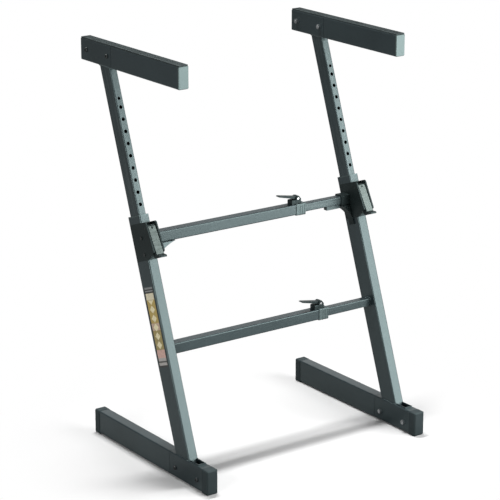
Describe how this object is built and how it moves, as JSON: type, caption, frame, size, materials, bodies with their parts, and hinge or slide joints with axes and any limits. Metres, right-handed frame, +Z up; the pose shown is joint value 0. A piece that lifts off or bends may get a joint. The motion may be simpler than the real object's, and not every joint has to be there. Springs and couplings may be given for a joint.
{
  "type": "z keyboard stand",
  "caption": "Z-shaped keyboard stand with two leaning side frames, rubber-topped arms, sprung height locks and two telescoping crossbars with cam clamps.",
  "frame": {"origin": "on the floor, under the middle of the stand's bounding box", "axes": "+X along the crossbars from the left side frame to the right one, -Y towards the player, where the arms point, +Z up"},
  "size_m": [0.6212, 0.492, 0.94],
  "materials": {
    "black_powder_coat": "satin black powder coat",
    "cap_rubber": "matt moulded rubber",
    "cap_plastic": "satin moulded plastic",
    "pad_rubber": "matt ribbed rubber",
    "black_steel": "blackened",
    "zinc_steel": "bright zinc",
    "guide_plastic": "satin nylon",
    "lock_plastic": "fine grained nylon",
    "lever_plate": "satin grey paint",
    "pin_steel": "turned steel",
    "spring_steel": "drawn spring wire",
    "pad_brass": "turned brass"
  },
  "bodies": {
    "left_frame": {"left_foot_bar": "black_powder_coat", "left_foot_shoe": "black_powder_coat", "left_foot_caps": "cap_rubber", "left_foot_bolts": "black_steel", "left_foot_nuts": "zinc_steel", "left_upright": "black_powder_coat", "left_bushing": "guide_plastic", "left_lock_housing": "lock_plastic", "left_housing_screws": "black_steel", "left_lever_pin": "pin_steel", "left_lock_spring": "spring_steel", "left_bar_gusset": "black_powder_coat", "upper_outer_bar": "black_powder_coat", "upper_collar": "guide_plastic", "upper_clamp_body": "lock_plastic", "upper_cam_pin": "pin_steel", "lower_outer_bar": "black_powder_coat", "lower_collar": "guide_plastic", "lower_clamp_body": "lock_plastic", "lower_cam_pin": "pin_steel"},
    "right_frame": {"right_foot_bar": "black_powder_coat", "right_foot_shoe": "black_powder_coat", "right_foot_caps": "cap_rubber", "right_foot_bolts": "black_steel", "right_foot_nuts": "zinc_steel", "right_upright": "black_powder_coat", "right_bushing": "guide_plastic", "right_lock_housing": "lock_plastic", "right_housing_screws": "black_steel", "right_lever_pin": "pin_steel", "right_lock_spring": "spring_steel", "right_bar_socket": "lock_plastic", "upper_inner_bar": "black_powder_coat", "lower_inner_bar": "black_powder_coat"},
    "left_riser": {"left_inner_tube": "black_powder_coat", "left_inner_glide": "guide_plastic", "left_arm_shoe": "black_powder_coat", "left_arm_bar": "black_powder_coat", "left_arm_caps": "cap_plastic", "left_arm_pad": "pad_rubber", "left_arm_bolts": "black_steel", "left_arm_nuts": "zinc_steel"},
    "left_lever": {"left_lock_lever": "lock_plastic", "left_lever_plate": "lever_plate"},
    "left_pin": {"left_lock_pin": "pin_steel"},
    "right_riser": {"right_inner_tube": "black_powder_coat", "right_inner_glide": "guide_plastic", "right_arm_shoe": "black_powder_coat", "right_arm_bar": "black_powder_coat", "right_arm_caps": "cap_plastic", "right_arm_pad": "pad_rubber", "right_arm_bolts": "black_steel", "right_arm_nuts": "zinc_steel"},
    "right_lever": {"right_lock_lever": "lock_plastic", "right_lever_plate": "lever_plate"},
    "right_pin": {"right_lock_pin": "pin_steel"},
    "upper_cam": {"upper_cam_lever": "lock_plastic"},
    "upper_pad": {"upper_clamp_pad": "pad_brass"},
    "lower_cam": {"lower_cam_lever": "lock_plastic"},
    "lower_pad": {"lower_clamp_pad": "pad_brass"}
  },
  "joints": [
    {"name": "width_slide", "type": "slide", "parent": "left_frame", "child": "right_frame", "axis": [1, 0, 0], "range_m": [0, 0.32]},
    {"name": "left_height_slide", "type": "slide", "parent": "left_frame", "child": "left_riser", "axis": [0, 0.3387, 0.9409], "range_m": [-0.30074, 0]},
    {"name": "left_lever_hinge", "type": "hinge", "parent": "left_frame", "child": "left_lever", "pos_m": [-0.294, -0.00759, 0.55176], "axis": [-1, 0, 0], "range_deg": [0, 9], "stiffness_Nm_per_rad": 1.2, "springref_deg": -14.32},
    {"name": "left_pin_slide", "type": "slide", "parent": "left_frame", "child": "left_pin", "axis": [0, -0.9409, 0.3387], "range_m": [0, 0.0045], "deforming": ["left_lock_spring"]},
    {"name": "right_height_slide", "type": "slide", "parent": "right_frame", "child": "right_riser", "axis": [0, 0.3387, 0.9409], "range_m": [-0.30074, 0]},
    {"name": "right_lever_hinge", "type": "hinge", "parent": "right_frame", "child": "right_lever", "pos_m": [0.294, -0.00759, 0.55176], "axis": [-1, 0, 0], "range_deg": [0, 9], "stiffness_Nm_per_rad": 1.2, "springref_deg": -14.32},
    {"name": "right_pin_slide", "type": "slide", "parent": "right_frame", "child": "right_pin", "axis": [0, -0.9409, 0.3387], "range_m": [0, 0.0045], "deforming": ["right_lock_spring"]},
    {"name": "upper_cam_hinge", "type": "hinge", "parent": "left_frame", "child": "upper_cam", "pos_m": [0.129, 0.0203, 0.5455], "axis": [0, 1, 0], "range_deg": [0, 110]},
    {"name": "upper_pad_slide", "type": "slide", "parent": "left_frame", "child": "upper_pad", "axis": [0, 0, 1], "range_m": [0, 0.0009]},
    {"name": "lower_cam_hinge", "type": "hinge", "parent": "left_frame", "child": "lower_cam", "pos_m": [0.1338, -0.06394, 0.3115], "axis": [0, 1, 0], "range_deg": [0, 110]},
    {"name": "lower_pad_slide", "type": "slide", "parent": "left_frame", "child": "lower_pad", "axis": [0, 0, 1], "range_m": [0, 0.0009]}
  ],
  "couplings": [
    {"joint": "left_pin_slide", "follows": "left_lever_hinge", "m_per_rad": 0.027},
    {"joint": "right_pin_slide", "follows": "right_lever_hinge", "m_per_rad": 0.027},
    {"joint": "upper_pad_slide", "follows": "upper_cam_hinge", "m_per_rad": 0.00035},
    {"joint": "lower_pad_slide", "follows": "lower_cam_hinge", "m_per_rad": 0.00035}
  ]
}
